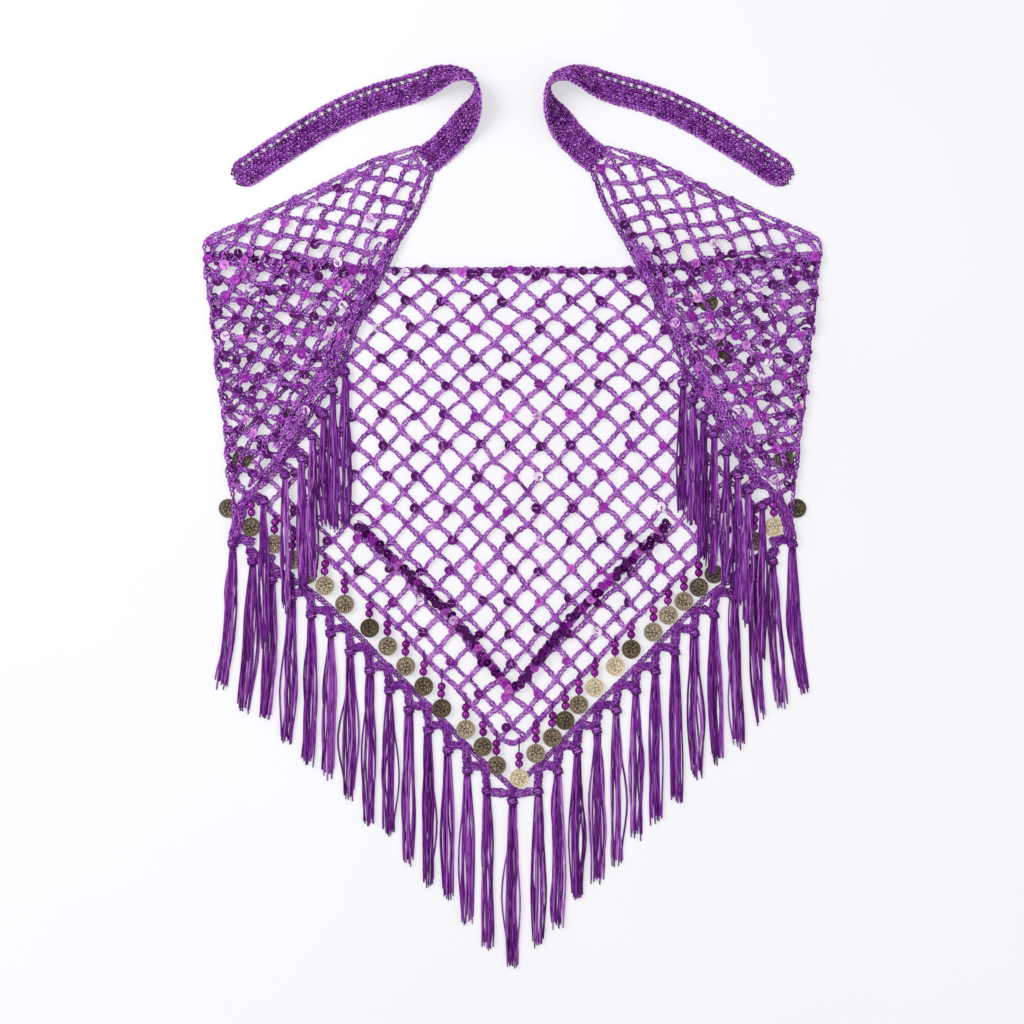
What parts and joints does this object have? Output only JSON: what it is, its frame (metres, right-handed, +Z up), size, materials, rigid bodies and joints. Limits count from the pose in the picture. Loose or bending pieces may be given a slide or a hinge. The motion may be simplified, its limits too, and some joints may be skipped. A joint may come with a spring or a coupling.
{
  "type": "crochet triangle shawl",
  "caption": "Open diamond-mesh crochet triangle laid flat with its corners folded in, band ties, sequins, coin drops and a tasselled border; worn round the hips or shoulders.",
  "frame": {"origin": "centre of the laid-out shawl on the surface it rests on", "axes": "+Z up out of the surface, +Y from the point towards the ties, +X to the right seen from above"},
  "size_m": [0.557, 0.8092, 0.0251],
  "materials": {
    "yarn": "purple crochet yarn with a metallic glint",
    "tassel_thread": "smooth purple viscose thread",
    "sequin": "dark purple mirror foil",
    "coin": "aged bronze to pale gold, worn"
  },
  "bodies": {
    "root": {"net_back": "yarn", "sequin_trim": "sequin", "border_point": "tassel_thread", "coin_drop_point": "coin", "net_wing_left": "yarn", "tie_left": "yarn", "border_left": "tassel_thread", "wing_border_left": "tassel_thread", "coin_drop_left_01": "coin", "coin_drop_left_02": "coin", "coin_drop_left_03": "coin", "coin_drop_left_04": "coin", "coin_drop_left_05": "coin", "coin_drop_left_06": "coin", "coin_drop_left_07": "coin", "coin_drop_left_08": "coin", "coin_drop_left_09": "coin", "coin_drop_left_10": "coin", "coin_drop_left_11": "coin", "coin_drop_left_12": "coin", "coin_drop_left_13": "coin", "coin_drop_left_14": "coin", "fold_coin_left": "coin", "wing_coin_left_1": "coin", "wing_coin_left_2": "coin", "net_wing_right": "yarn", "tie_right": "yarn", "border_right": "tassel_thread", "wing_border_right": "tassel_thread", "coin_drop_right_01": "coin", "coin_drop_right_02": "coin", "coin_drop_right_03": "coin", "coin_drop_right_04": "coin", "coin_drop_right_05": "coin", "coin_drop_right_06": "coin", "coin_drop_right_07": "coin", "coin_drop_right_08": "coin", "coin_drop_right_09": "coin", "coin_drop_right_10": "coin", "coin_drop_right_11": "coin", "coin_drop_right_12": "coin", "coin_drop_right_13": "coin", "coin_drop_right_14": "coin", "coin_drop_right_15": "coin", "fold_coin_right": "coin", "wing_coin_right_1": "coin", "wing_coin_right_2": "coin", "wing_coin_right_3": "coin"}
  },
  "joints": []
}
